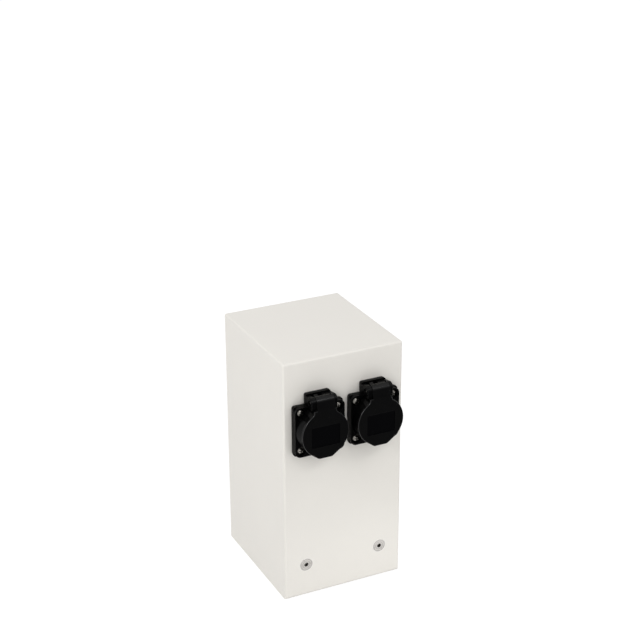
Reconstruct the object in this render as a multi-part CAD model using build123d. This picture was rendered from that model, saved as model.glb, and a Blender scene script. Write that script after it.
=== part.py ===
from build123d import *
import math
import os

# Garden socket post: a folded sheet-metal hood over a foot that is bolted to the
# ground, with two hinged-lid sockets side by side in its front.
# Millimetres. The origin is the middle of the footprint on the ground, X runs to the
# right as seen from the front, the front faces -Y and Z is up.

# Hood
HOOD_WIDTH = 122.0
HOOD_DEPTH = 134.0
HOOD_HEIGHT = 246.0
HOOD_SHEET = 1.5
EDGE_BEND_INSIDE = 0.5
FOOT_BEND_INSIDE = 2.0
FOOT_LIP_FLAT = 1.0

# Foot bracket
FOOT_SHEET = 3.0
FOOT_BEND = 2.0
FOOT_SIDE_GAP = 1.0
FOOT_LIP_GAP = 0.3
FOOT_TAB_RISE = 48.0
ANCHOR_SPACING_X = 80.0
ANCHOR_SPACING_Y = 86.0
ANCHOR_HOLE_RADIUS = 4.5

# Foot screws and their weld nuts
FOOT_SCREW_SPACING = 78.0
FOOT_SCREW_HEIGHT = 33.8
FOOT_SCREW_RADIUS = 3.0
FOOT_SCREW_HEAD_RADIUS = 6.5
FOOT_SCREW_LENGTH = 16.0
FOOT_SCREW_KEY = 4.0
FOOT_SCREW_KEY_DEPTH = 2.4
WELD_NUT_ACROSS = 10.0
WELD_NUT_THICKNESS = 5.0

# Cable bush
BUSH_BORE_RADIUS = 12.0
BUSH_WALL = 3.0
BUSH_COLLAR = 3.0
BUSH_COLLAR_THICKNESS = 2.0

# Carrier plate and mounting rail
CARRIER_WIDTH = 64.0
CARRIER_ABOVE_RAIL = 29.0
CARRIER_SHEET = 2.0
CARRIER_FOOT = 20.0
CARRIER_BACKSET = 24.0
CARRIER_STUD_SPACING = 44.0
CARRIER_STUD_RADIUS = 2.5
CARRIER_STUD_RISE = 9.0
CARRIER_NUT_ACROSS = 8.0
CARRIER_NUT_THICKNESS = 4.0
RAIL_DROP = 87.5
RAIL_END_INSET = 2.0
RAIL_FACE = 35.0
RAIL_CROWN = 27.0
RAIL_RISE = 7.5
RAIL_SHEET = 1.0
RAIL_SCREW_INSET = 5.0
RAIL_SCREW_RADIUS = 2.0
RAIL_SCREW_HEAD_RADIUS = 3.8
RAIL_SCREW_HEAD = 2.4
RAIL_NUT_ACROSS = 7.0
RAIL_NUT_THICKNESS = 3.2

# Rail terminals
TERMINAL_WIDTH = 6.2
TERMINAL_DEPTH = 34.0
TERMINAL_HEIGHT = 56.0
TERMINAL_SHOULDER = 14.0
TERMINAL_SHOULDER_DEPTH = 18.0
TERMINAL_HOOK = 2.5
TERMINAL_SCREW_RADIUS = 1.9
TERMINAL_SCREW_LENGTH = 6.0
TERMINAL_SCREW_SINK = 1.0
TERMINAL_SCREW_PITCH = 14.0
TERMINAL_ROW_INSET = 5.0
TERMINAL_HOOK_LIP = 2.0
END_STOP_WIDTH = 8.0
END_STOP_DEPTH = 14.0

# Wires
WIRE_RADIUS = 1.7
WIRE_SEAT = 2.0
WIRE_ROW_PITCH = 9.0
WIRE_RISE = 18.0
WIRE_DETOUR = 20.0
BEND_SHARE = 0.45

# Earth bonding
EARTH_STUD_RADIUS = 2.5
EARTH_STUD_LENGTH = 12.0
HOOD_STUD_HEIGHT = 62.0
FOOT_STUD_INSET = 33.0
EARTH_STUD_FORWARD = 12.0
EARTH_NUT_ACROSS = 8.0
EARTH_NUT_THICKNESS = 4.0
LUG_RADIUS = 5.0
LUG_THICKNESS = 1.0
LUG_TAIL = 8.0
LUG_TONGUE = 4.4
LUG_CRIMP = 0.6
LEAD_RADIUS = 2.0

# Sockets
SOCKET_GAP_SHARE = 0.2955
SOCKET_DROP = 66.5
FLANGE_SIDE = 50.0
FLANGE_BASE_CORNER = 2.5
FLANGE_FACE_CORNER = 5.5
FLANGE_BASE = 2.7
FLANGE_STEP = 4.0
FLANGE_SCREW_SPACING = 38.0
GASKET_THICKNESS = 1.7
HUB_ROOT_RADIUS = 24.4
HUB_RIM_RADIUS = 22.6
HUB_RISE = 8.5
WELL_RADIUS = 19.75
WELL_DEPTH = 17.5
WELL_LEDGE = 0.8
TUBE_WALL = 1.4
TUBE_BACKSET = 26.0
GUIDE_RIB_WIDTH = 4.5
GUIDE_RIB_RISE = 1.6
GUIDE_RIB_LENGTH = 13.0

# Mounting screws of the sockets
MOUNT_SCREW_RADIUS = 2.0
MOUNT_HEAD_RADIUS = 4.0
MOUNT_HEAD_HEIGHT = 2.6
MOUNT_HEAD_DOME = 4.7
MOUNT_POCKET_RADIUS = 4.7
MOUNT_SEAT = 3.4
MOUNT_NUT_ACROSS = 7.0
MOUNT_NUT_THICKNESS = 3.2
MOUNT_SCREW_TAIL = 1.5
CROSS_SLOT = 0.9
CROSS_SPAN = 4.0
CROSS_DEPTH = 1.3

# Contact insert and contacts
INSERT_DISC = 3.2
CORE_RADIUS = 16.6
CORE_LENGTH = 14.0
PIN_SPACING = 19.0
PIN_HOLE_RADIUS = 2.75
SLEEVE_BORE_RADIUS = 2.45
SLEEVE_WALL = 0.8
SLEEVE_SLIT = 0.9
SLEEVE_CLEARANCE = 0.3
CLAMP_WIDTH = 8.0
CLAMP_HEIGHT = 9.0
CLAMP_LENGTH = 10.0
CLAMP_SCREW_RADIUS = 1.7
CLAMP_SCREW_LENGTH = 4.0
CLAMP_SCREW_INSET = 4.5
SLOT_WIDTH = 0.7
SLOT_DEPTH = 0.8
PIN_REACH = 19.5
EARTH_STRIP = 0.9
EARTH_STRIP_WIDTH = 5.0
EARTH_ARM_OFFSET = 18.5
EARTH_ARM_BOW = 1.5
EARTH_ARM_REACH = 12.0
EARTH_ARM_BELLY = 8.0
EARTH_ARM_FOOT = 2.0
EARTH_STRIP_BEND = 0.8
EARTH_CLAMP_DROP = 11.0
COVER_WALL = 1.6
COVER_BACK = 6.0
COVER_SPIGOT = 3.0

# Hinge
EAR_RADIUS = 4.7
EAR_LEFT_WIDTH = 4.2
EAR_RIGHT_WIDTH = 2.5
EAR_SINK = 0.3
EAR_ROOT_DROP = 2.2
EAR_TOE_RADIUS = 1.5
EAR_RING_OUTER = 4.5
EAR_RING_INNER = 2.6
EAR_RING_RISE = 0.6
EAR_RING_ROUND = 0.5
EAR_RECESS = 1.2
HINGE_LIFT = 6.0
HINGE_SIDE_GAP = 0.5
HINGE_PLATE_CORNER = 1.8
ROOF_WIDTH = 7.6
ROOF_THICKNESS = 2.6
ROOF_DROP = 1.6
ROOF_LAP = 0.5
KNUCKLE_RADIUS = 5.0
KNUCKLE_SETBACK = 1.5
KNUCKLE_WIDTH = 17.5
KNUCKLE_GAP = 0.5
PIN_RADIUS = 1.5
PIN_PROUD = 0.6

# Lid
LID_RADIUS = 23.4
LIP_WIDTH = 18.0
LIP_DROP = 24.1
LIP_HEIGHT = 8.0
LIP_CORNER = 3.5
LID_THICKNESS = 2.7
LID_GAP = 0.5
LID_EDGE = 0.7
NECK_WIDTH = 22.4
NECK_FILLET = 4.0
NECK_LAP = 1.5
SHOULDER_GAP = 0.4
WINDOW_WIDTH = 29.0
WINDOW_HEIGHT = 20.6
WINDOW_CORNER = 1.5
WINDOW_DEPTH = 0.5
WINDOW_DROP = 1.8
SEAL_WIDTH = 1.2
SEAL_THICKNESS = 1.2
LID_OPEN_ANGLE = 110.0

# Lid spring and the nose that stops the lid
COIL_RADIUS = 2.3
COIL_WIRE = 0.4
COIL_PITCH = 1.25
COIL_TURNS = 3.25
COIL_LEG = 2.0
COIL_POCKET_GAP = 1.0
POCKET_WIDTH = 5.5
POCKET_WEB = 1.0
POCKET_LEAD = 0.8
LEDGE_WIDTH = 2.6
LEDGE_THICKNESS = 2.0
LEDGE_REACH = 2.2
NOSE_WIDTH = 3.5
NOSE_INSET = 1.2
NOSE_LEAD = 1.0
NOSE_TAIL = 3.0
NOSE_ROOT = 3.0

# Clearances
FIT = 0.05
THREAD_FIT = 0.03
SOFT_GAP = 0.3
HOLE_GAP = 0.3
OVERRUN = 1.0

# Heights above the ground: the sockets hang from the hood's top, the rail from the sockets
SOCKET_HEIGHT = HOOD_HEIGHT - SOCKET_DROP
RAIL_HEIGHT = SOCKET_HEIGHT - RAIL_DROP

# The gap between the sockets is a share of the width that they leave on the hood's face
SOCKET_SPACING = FLANGE_SIDE + SOCKET_GAP_SHARE * (HOOD_WIDTH - FLANGE_SIDE * 2)

# Levels that several pieces share, as distances out from the hood's face
FLANGE_BACK = GASKET_THICKNESS + SOFT_GAP * 2
BASE_FACE = FLANGE_BACK + FLANGE_BASE
FLANGE_FACE = BASE_FACE + FLANGE_STEP
RIM_FACE = FLANGE_FACE + HUB_RISE
WELL_FLOOR = RIM_FACE - WELL_DEPTH
LID_BACK = RIM_FACE + LID_GAP
LID_FRONT = LID_BACK + LID_THICKNESS
HINGE_OUT = LID_FRONT - KNUCKLE_SETBACK - KNUCKLE_RADIUS
HINGE_UP = FLANGE_SIDE / 2 + HINGE_LIFT
EAR_LOW = FLANGE_SIDE / 2 - EAR_SINK
EAR_TOP = HINGE_UP + EAR_RADIUS
LID_SHOULDER = EAR_LOW - SHOULDER_GAP
SCREW_SEAT = FLANGE_BACK + MOUNT_SEAT

# Widths that several pieces share
EAR_OUTER = (EAR_LEFT_WIDTH + EAR_RIGHT_WIDTH + KNUCKLE_WIDTH) / 2 + HINGE_SIDE_GAP
KNUCKLE_LEFT = EAR_LEFT_WIDTH - EAR_OUTER + HINGE_SIDE_GAP
KNUCKLE_RIGHT = KNUCKLE_LEFT + KNUCKLE_WIDTH
RAIL_LENGTH = CARRIER_WIDTH - RAIL_END_INSET * 2
RAIL_SCREW_SPACING = RAIL_LENGTH - RAIL_SCREW_INSET * 2
TUBE_INNER = WELL_RADIUS + WELL_LEDGE
TUBE_OUTER = TUBE_INNER + TUBE_WALL
FOOT_LIP = FOOT_BEND_INSIDE + HOOD_SHEET + FOOT_LIP_FLAT
TAB_DEPTH = FOOT_LIP + FOOT_LIP_GAP
DISC_BACK = WELL_FLOOR - INSERT_DISC
CORE_BACK = DISC_BACK - CORE_LENGTH
POCKET_RADIUS = COIL_RADIUS + COIL_WIRE + COIL_POCKET_GAP
POCKET_RIGHT = KNUCKLE_RIGHT - POCKET_WEB
POCKET_LEFT = POCKET_RIGHT - POCKET_WIDTH


# Helpers

def block(x0, x1, y0, y1, z0, z1):
    """A box between two corners."""
    middle = Pos((x0 + x1) / 2, (y0 + y1) / 2, (z0 + z1) / 2)
    return middle * Box(x1 - x0, y1 - y0, z1 - z0)


def post(radius, z0, z1, x=0, y=0):
    """A round bar along Z."""
    return Pos(x, y, (z0 + z1) / 2) * Cylinder(radius, z1 - z0)


def bar_x(radius, x0, x1, y, z):
    """A round bar along X."""
    return Pos((x0 + x1) / 2, y, z) * Rot(0, 90, 0) * Cylinder(radius, x1 - x0)


def frustum(radius0, radius1, z0, z1):
    """A cone piece along Z, radius0 at z0 and radius1 at z1."""
    return Pos(0, 0, (z0 + z1) / 2) * Cone(radius0, radius1, z1 - z0)


def slab(outline, z0, z1):
    """An outline in X and Y, made solid from z0 to z1."""
    return Pos(0, 0, z0) * extrude(outline, amount=z1 - z0)


def side_slab(profile, x0, x1):
    """A profile drawn as (outwards, up), made solid from x0 to x1."""
    plane = Plane(origin=(x1, 0, 0), x_dir=(0, 0, 1), z_dir=(-1, 0, 0))
    return extrude(plane * profile, amount=x1 - x0)


def hexagon(across):
    """A hexagon that measures this much across its flats."""
    return RegularPolygon(across / math.sqrt(3), 6)


def nut(across, thickness, bore):
    """A hexagon nut standing on z = 0."""
    return slab(hexagon(across), 0, thickness) - post(bore, -OVERRUN, thickness + OVERRUN)


def corners(spacing_x, spacing_y):
    """The four corners of a rectangle round the origin."""
    return [(sx * spacing_x / 2, sy * spacing_y / 2) for sx in (-1, 1) for sy in (-1, 1)]


def joined(shapes):
    """One shape from several that touch."""
    whole = shapes[0]
    for shape in shapes[1:]:
        whole = whole + shape
    return whole


def group(shapes):
    """Separate solids kept together in one node."""
    solids = []
    for shape in shapes:
        solids.extend(shape.solids())
    return Compound(children=solids)


def turned_about_hinge(shape, angle):
    """The shape turned about the hinge axis; a positive angle opens the lid."""
    to_axis = Pos(0, HINGE_UP, HINGE_OUT)
    return to_axis * Rot(-angle, 0, 0) * to_axis.inverse() * shape


def on_front(shape, side):
    """From a socket's own view (X across, Y up, Z outwards) to its place on the hood."""
    return Pos(side * SOCKET_SPACING / 2, -HOOD_DEPTH / 2, SOCKET_HEIGHT) * Rot(90, 0, 0) * shape


def front_and_back(shape):
    """A shape drawn outwards from the front face, in front and, turned round, at the back."""
    front = Pos(0, -HOOD_DEPTH / 2, 0) * Rot(90, 0, 0) * shape
    return [front, Rot(0, 0, 180) * front]


# Post

def rounded_shell(width, depth, height, radius):
    """A solid box on the ground, rounded on all its edges but those at the foot."""
    solid = Pos(0, 0, height / 2) * Box(width, depth, height)
    edges = solid.edges().filter_by(Axis.Z) + solid.faces().sort_by(Axis.Z)[-1].edges()
    return fillet(edges, radius)


def foot_bend_cutter(radius, half_depth, level):
    """What a quarter-round bend leaves out along the foot of the front and the back."""
    cutters = []
    for side in (-1, 1):
        corner = block(-HOOD_WIDTH, HOOD_WIDTH, half_depth - radius, half_depth + OVERRUN,
                       level - OVERRUN, level + radius)
        round_bar = bar_x(radius, -HOOD_WIDTH, HOOD_WIDTH, half_depth - radius, level + radius)
        cutter = corner - round_bar
        cutters.append(cutter if side > 0 else mirror(cutter, Plane.XZ))
    return cutters


def foot_screw_dimple():
    """The pressed-in seat of a foot screw, drawn outwards from the hood's face."""
    throat = FOOT_SCREW_RADIUS + HOLE_GAP
    rim = FOOT_SCREW_HEAD_RADIUS + FIT
    taper = rim - throat
    body = frustum(throat + HOOD_SHEET, rim + HOOD_SHEET, -TAB_DEPTH, -HOOD_SHEET / 2)
    hole = frustum(throat, rim, -taper, 0) + post(throat, -TAB_DEPTH - OVERRUN, -taper)
    return body, hole


def make_hood():
    outer = rounded_shell(HOOD_WIDTH, HOOD_DEPTH, HOOD_HEIGHT, EDGE_BEND_INSIDE + HOOD_SHEET)
    for cutter in foot_bend_cutter(FOOT_BEND_INSIDE + HOOD_SHEET, HOOD_DEPTH / 2, 0):
        outer = outer - cutter
    inner_width = HOOD_WIDTH - HOOD_SHEET * 2
    inner_depth = HOOD_DEPTH - HOOD_SHEET * 2
    inner_height = HOOD_HEIGHT - HOOD_SHEET * 2
    room = Pos(0, 0, HOOD_SHEET) * rounded_shell(inner_width, inner_depth, inner_height, EDGE_BEND_INSIDE)
    for cutter in foot_bend_cutter(FOOT_BEND_INSIDE, inner_depth / 2, HOOD_SHEET):
        room = room - cutter
    mouth = HOOD_DEPTH / 2 - FOOT_LIP
    room = room + block(-inner_width / 2, inner_width / 2, -mouth, mouth, -OVERRUN, HOOD_SHEET + OVERRUN)
    hood = outer - room
    body, hole = foot_screw_dimple()
    for side in (-1, 1):
        place = Pos(side * FOOT_SCREW_SPACING / 2, FOOT_SCREW_HEIGHT, 0)
        for dimple in front_and_back(place * body):
            hood = hood + dimple
        for seat in front_and_back(place * hole):
            hood = hood - seat
        cut = post(TUBE_OUTER + HOLE_GAP, -HOOD_SHEET - OVERRUN, OVERRUN)
        for x, y in corners(FLANGE_SCREW_SPACING, FLANGE_SCREW_SPACING):
            cut = cut + post(MOUNT_SCREW_RADIUS + HOLE_GAP, -HOOD_SHEET - OVERRUN, OVERRUN, x, y)
        hood = hood - on_front(cut, side)
    return hood


def bend_edges(solid, y, z):
    """The two edges along X at this distance to the front and back, and this height."""
    return [edge for edge in solid.edges().filter_by(Axis.X)
            if abs(abs(edge.center().Y) - y) < FIT and abs(edge.center().Z - z) < FIT]


def make_foot_bracket():
    half_width = HOOD_WIDTH / 2 - HOOD_SHEET - FOOT_SIDE_GAP
    half_depth = HOOD_DEPTH / 2 - TAB_DEPTH
    inner = half_depth - FOOT_SHEET
    base = block(-half_width, half_width, -half_depth, half_depth, 0, FOOT_SHEET)
    parts = [base]
    for y0, y1 in ((-half_depth, -inner), (inner, half_depth)):
        parts.append(block(-half_width, half_width, y0, y1, 0, FOOT_TAB_RISE))
    bracket = joined(parts)
    bracket = fillet(bend_edges(bracket, inner, FOOT_SHEET), FOOT_BEND)
    bracket = fillet(bend_edges(bracket, half_depth, 0), FOOT_BEND + FOOT_SHEET)
    for x, y in corners(ANCHOR_SPACING_X, ANCHOR_SPACING_Y):
        bracket = bracket - post(ANCHOR_HOLE_RADIUS, -OVERRUN, FOOT_SHEET + OVERRUN, x, y)
    bracket = bracket - post(BUSH_BORE_RADIUS + BUSH_WALL + SOFT_GAP, -OVERRUN, FOOT_SHEET + OVERRUN)
    screw_hole = FOOT_SCREW_RADIUS + HOLE_GAP
    for side in (-1, 1):
        drill = post(screw_hole, -TAB_DEPTH - FOOT_SHEET - OVERRUN, 0,
                     side * FOOT_SCREW_SPACING / 2, FOOT_SCREW_HEIGHT)
        for hole in front_and_back(drill):
            bracket = bracket - hole
        x = side * CARRIER_STUD_SPACING / 2
        bracket = bracket - post(CARRIER_STUD_RADIUS + FIT, -OVERRUN, FOOT_SHEET + OVERRUN, x, stud_line())
    x, y = foot_stud_place()
    bracket = bracket - post(EARTH_STUD_RADIUS + FIT, -OVERRUN, FOOT_SHEET + OVERRUN, x, y)
    return bracket


def foot_screw():
    """A countersunk screw, drawn outwards with its head level with the face."""
    taper = FOOT_SCREW_HEAD_RADIUS - FOOT_SCREW_RADIUS
    shank = post(FOOT_SCREW_RADIUS, -FOOT_SCREW_LENGTH, -taper)
    head = frustum(FOOT_SCREW_RADIUS, FOOT_SCREW_HEAD_RADIUS, -taper, 0)
    return shank + head - slab(hexagon(FOOT_SCREW_KEY), -FOOT_SCREW_KEY_DEPTH, OVERRUN)


def make_foot_screws():
    shapes = []
    for side in (-1, 1):
        place = Pos(side * FOOT_SCREW_SPACING / 2, FOOT_SCREW_HEIGHT, 0)
        shapes.extend(front_and_back(place * foot_screw()))
    return group(shapes)


def make_weld_nuts():
    shapes = []
    behind_tab = -TAB_DEPTH - FOOT_SHEET - WELD_NUT_THICKNESS
    for side in (-1, 1):
        place = Pos(side * FOOT_SCREW_SPACING / 2, FOOT_SCREW_HEIGHT, behind_tab)
        weld_nut = nut(WELD_NUT_ACROSS, WELD_NUT_THICKNESS, FOOT_SCREW_RADIUS + THREAD_FIT)
        shapes.extend(front_and_back(place * weld_nut))
    return group(shapes)


def make_cable_bush():
    sleeve = BUSH_BORE_RADIUS + BUSH_WALL
    collar_low = FOOT_SHEET + SOFT_GAP
    collar_high = collar_low + BUSH_COLLAR_THICKNESS
    body = post(sleeve, SOFT_GAP, collar_high) + post(sleeve + BUSH_COLLAR, collar_low, collar_high)
    return body - post(BUSH_BORE_RADIUS, 0, collar_high + OVERRUN)


# Carrier plate, rail and terminals

def stud_line():
    """Where the carrier plate's studs stand, measured to the back."""
    return CARRIER_BACKSET + CARRIER_FOOT / 2


def make_carrier_plate():
    half = CARRIER_WIDTH / 2
    low = FOOT_SHEET
    back = CARRIER_BACKSET + CARRIER_SHEET
    upright = block(-half, half, CARRIER_BACKSET, back, low, RAIL_HEIGHT + CARRIER_ABOVE_RAIL)
    foot_top = low + CARRIER_SHEET
    foot = block(-half, half, CARRIER_BACKSET, CARRIER_BACKSET + CARRIER_FOOT, low, foot_top)
    plate = upright + foot
    for side in (-1, 1):
        x = side * CARRIER_STUD_SPACING / 2
        plate = plate - post(CARRIER_STUD_RADIUS + HOLE_GAP, 0, foot_top + OVERRUN, x, stud_line())
        plate = plate - rail_drill(side, RAIL_SCREW_RADIUS + HOLE_GAP)
    return plate


def rail_drill(side, radius):
    """A bar through the rail and the carrier plate, where a rail screw goes."""
    x = side * RAIL_SCREW_SPACING / 2
    length = (RAIL_RISE + CARRIER_SHEET) * 2
    return Pos(x, CARRIER_BACKSET, RAIL_HEIGHT) * Rot(90, 0, 0) * Cylinder(radius, length * 2)


def make_carrier_studs():
    shapes = []
    for side in (-1, 1):
        x = side * CARRIER_STUD_SPACING / 2
        shapes.append(post(CARRIER_STUD_RADIUS, 0, FOOT_SHEET + CARRIER_STUD_RISE, x, stud_line()))
    return group(shapes)


def make_carrier_nuts():
    shapes = []
    low = FOOT_SHEET + CARRIER_SHEET
    carrier_nut = nut(CARRIER_NUT_ACROSS, CARRIER_NUT_THICKNESS, CARRIER_STUD_RADIUS + THREAD_FIT)
    for side in (-1, 1):
        shapes.append(Pos(side * CARRIER_STUD_SPACING / 2, stud_line(), low) * carrier_nut)
    return group(shapes)


def rail_profile():
    """The rail's section, drawn as (towards the front, up) from the carrier plate's face."""
    crown = RAIL_CROWN / 2
    face = RAIL_FACE / 2
    lip = RAIL_RISE - RAIL_SHEET
    inner = crown - RAIL_SHEET
    lower = [(0, -crown), (lip, -crown), (lip, -face),
             (RAIL_RISE, -face), (RAIL_RISE, -inner), (RAIL_SHEET, -inner)]
    upper = [(out, -up) for out, up in reversed(lower)]
    return make_face(Polyline(*lower, *upper, close=True))


def towards_front(profile, x0, x1):
    """A profile drawn as (towards the front, up) from the carrier plate's face, solid from x0 to x1."""
    plane = Plane(origin=(x1, CARRIER_BACKSET, RAIL_HEIGHT), x_dir=(0, -1, 0), z_dir=(-1, 0, 0))
    return extrude(plane * profile, amount=x1 - x0)


def make_rail():
    rail = towards_front(rail_profile(), -RAIL_LENGTH / 2, RAIL_LENGTH / 2)
    for side in (-1, 1):
        rail = rail - rail_drill(side, RAIL_SCREW_RADIUS + HOLE_GAP)
    return rail


def along_rail_screw(shape, side):
    """A shape drawn towards the front from the carrier plate's face, at a rail screw."""
    place = Pos(side * RAIL_SCREW_SPACING / 2, CARRIER_BACKSET, RAIL_HEIGHT)
    return place * Rot(90, 0, 0) * shape


def make_rail_screws():
    shapes = []
    tail = -CARRIER_SHEET - RAIL_NUT_THICKNESS - MOUNT_SCREW_TAIL
    head_top = RAIL_SHEET + RAIL_SCREW_HEAD
    head = post(RAIL_SCREW_HEAD_RADIUS, RAIL_SHEET, head_top)
    screw = post(RAIL_SCREW_RADIUS, tail, RAIL_SHEET) + head - slot_cut(RAIL_SCREW_HEAD_RADIUS, head_top)
    for side in (-1, 1):
        shapes.append(along_rail_screw(screw, side))
    return group(shapes)


def make_rail_nuts():
    low = -CARRIER_SHEET - RAIL_NUT_THICKNESS
    rail_nut = Pos(0, 0, low) * nut(RAIL_NUT_ACROSS, RAIL_NUT_THICKNESS, RAIL_SCREW_RADIUS + THREAD_FIT)
    return group([along_rail_screw(rail_nut, side) for side in (-1, 1)])


def slot_cut(radius, top):
    """A screwdriver slot across a head whose top is here."""
    return block(-radius, radius, -SLOT_WIDTH / 2, SLOT_WIDTH / 2, top - SLOT_DEPTH, top + OVERRUN)


def rail_hooks():
    """The two hooks that hold a terminal on the rail, drawn as (towards the front, up)."""
    face = RAIL_FACE / 2 + FIT
    front = RAIL_RISE + FIT
    behind = RAIL_RISE - RAIL_SHEET - FIT
    tip = behind - TERMINAL_HOOK
    upper = [(front, face), (behind, face), (behind, face - TERMINAL_HOOK_LIP),
             (tip, face - TERMINAL_HOOK_LIP), (tip, face + TERMINAL_HOOK), (front, face + TERMINAL_HOOK)]
    lower = [(out, -up) for out, up in upper]
    return make_face(Polyline(*upper, close=True)) + make_face(Polyline(*lower, close=True))


def terminal_x(place):
    """The middle of a rail terminal: -1 live, 0 earth, 1 neutral."""
    return place * (TERMINAL_WIDTH + FIT)


def row_out(row):
    """How far in front of the carrier plate a row of wire entries is."""
    return RAIL_RISE + TERMINAL_ROW_INSET + row * WIRE_ROW_PITCH


def make_terminal(place):
    x = terminal_x(place)
    low = RAIL_RISE + FIT
    shoulder = RAIL_RISE + TERMINAL_SHOULDER_DEPTH
    front = RAIL_RISE + TERMINAL_DEPTH
    half = TERMINAL_HEIGHT / 2
    nose = half - TERMINAL_SHOULDER
    points = [(low, -half), (shoulder, -half), (front, -nose), (front, nose), (shoulder, half), (low, half)]
    profile = make_face(Polyline(*points, close=True)) + rail_hooks()
    body = towards_front(profile, x - TERMINAL_WIDTH / 2, x + TERMINAL_WIDTH / 2)
    top = RAIL_HEIGHT + half
    entry = WIRE_RADIUS + HOLE_GAP
    for row in (0, 1):
        y = CARRIER_BACKSET - row_out(row)
        body = body - post(entry, top - WIRE_SEAT - FIT, top + OVERRUN, x, y)
    bottom = RAIL_HEIGHT - half
    supply_y = CARRIER_BACKSET - (row_out(0) + row_out(1)) / 2
    body = body - post(entry, bottom - OVERRUN, bottom + WIRE_SEAT * 2, x, supply_y)
    screw_hole = post(TERMINAL_SCREW_RADIUS + THREAD_FIT, terminal_screw_low(), front + OVERRUN)
    for placed_hole in terminal_screw_places(x, screw_hole):
        body = body - placed_hole
    return body


def terminal_screw_low():
    """The inner end of a terminal's clamp screws, out from the carrier plate."""
    return RAIL_RISE + TERMINAL_DEPTH - TERMINAL_SCREW_SINK - TERMINAL_SCREW_LENGTH


def terminal_screw_places(x, shape):
    """A shape drawn towards the front, at both clamp screws of the terminal at x."""
    return [Pos(x, CARRIER_BACKSET, RAIL_HEIGHT + side * TERMINAL_SCREW_PITCH / 2) * Rot(90, 0, 0) * shape
            for side in (-1, 1)]


def make_terminal_screws():
    top = terminal_screw_low() + TERMINAL_SCREW_LENGTH
    screw = post(TERMINAL_SCREW_RADIUS, terminal_screw_low(), top) - slot_cut(TERMINAL_SCREW_RADIUS, top)
    shapes = []
    for place in (-1, 0, 1):
        shapes.extend(terminal_screw_places(terminal_x(place), screw))
    return group(shapes)


def make_end_stops():
    low = RAIL_RISE + FIT
    front = RAIL_RISE + END_STOP_DEPTH
    half = RAIL_FACE / 2 + TERMINAL_HOOK
    points = [(low, -half), (front, -half), (front, half), (low, half)]
    profile = make_face(Polyline(*points, close=True)) + rail_hooks()
    inner = terminal_x(1) + TERMINAL_WIDTH / 2 + FIT
    right = towards_front(profile, inner, inner + END_STOP_WIDTH)
    return group([right, mirror(right, Plane.YZ)])


# Wires

def bend_radii(points):
    """The arc at each inner point: a share of its shorter run, over the tangent of half its turn."""
    radii = []
    for before, here, after in zip(points, points[1:], points[2:]):
        run_in = Vector(*here) - Vector(*before)
        run_out = Vector(*after) - Vector(*here)
        turn = math.radians(run_in.get_angle(run_out))
        radii.append(BEND_SHARE * min(run_in.length, run_out.length) / math.tan(turn / 2))
    return radii


def tube_along(name, points, radius):
    """A round wire along straight runs joined by arcs."""
    radii = bend_radii(points)
    path = FilletPolyline(*points, radius=radii)
    wire = sweep(Plane(origin=path @ 0, z_dir=path % 0) * Circle(radius), path=path)
    expected = math.pi * radius ** 2 * path.length
    print(f"{name}: arcs {[round(r, 1) for r in radii]} mm, length {path.length:.1f} mm, "
          f"volume over section times length {wire.volume / expected:.4f}")
    return wire


def wire_points(place, side):
    """The run of one wire: up out of its rail terminal, across, and forward into its contact."""
    row = 1 if side < 0 else 0
    y = CARRIER_BACKSET - row_out(row)
    x = terminal_x(place)
    top = RAIL_HEIGHT + TERMINAL_HEIGHT / 2
    contact_x = side * SOCKET_SPACING / 2 + place * PIN_SPACING / 2
    contact_z = SOCKET_HEIGHT - (EARTH_CLAMP_DROP if place == 0 else 0)
    strip = EARTH_STRIP if place == 0 else 0
    end_y = -HOOD_DEPTH / 2 - CORE_BACK + strip + CLAMP_LENGTH - WIRE_SEAT
    points = [(x, y, top - WIRE_SEAT), (x, y, top + WIRE_RISE)]
    if place == side:
        points.append((contact_x, y, contact_z - WIRE_DETOUR))
    points.append((contact_x, y, contact_z))
    points.append((contact_x, end_y, contact_z))
    return points


def make_wires(name, place):
    return group([tube_along(f"{name} {side}", wire_points(place, side), WIRE_RADIUS) for side in (-1, 1)])


# Earth bonding

def foot_stud_place():
    """Where the foot bracket's earth stud stands."""
    return HOOD_WIDTH / 2 - FOOT_STUD_INSET, -EARTH_STUD_FORWARD


def wall_place():
    """The hood stud's place on the right side wall, its own Z pointing inwards and its X down."""
    origin = (HOOD_WIDTH / 2 - HOOD_SHEET, -EARTH_STUD_FORWARD, HOOD_STUD_HEIGHT)
    return Plane(origin=origin, x_dir=(0, 0, -1), z_dir=(-1, 0, 0)).location


def floor_place():
    """The foot stud's place on top of the bracket, its own X towards the side wall."""
    x, y = foot_stud_place()
    return Pos(x, y, FOOT_SHEET)


def lead_height():
    """How far the bonding lead's middle is above what its lug lies on."""
    return LEAD_RADIUS + LUG_CRIMP


def make_earth_studs():
    on_wall = wall_place() * post(EARTH_STUD_RADIUS, 0, EARTH_STUD_LENGTH)
    in_foot = floor_place() * post(EARTH_STUD_RADIUS, -FOOT_SHEET, EARTH_STUD_LENGTH - FOOT_SHEET)
    return group([on_wall, in_foot])


def make_bonding_lugs():
    reach = LUG_RADIUS + LUG_TAIL
    tongue = block(0, reach, -LUG_TONGUE / 2, LUG_TONGUE / 2, 0, LUG_THICKNESS)
    lug = post(LUG_RADIUS, 0, LUG_THICKNESS) + tongue
    lug = lug + bar_x(lead_height(), LUG_RADIUS + LUG_THICKNESS, reach, 0, lead_height())
    lug = lug - post(EARTH_STUD_RADIUS + FIT, -OVERRUN, LUG_THICKNESS + OVERRUN)
    return group([wall_place() * lug, floor_place() * lug])


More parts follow.
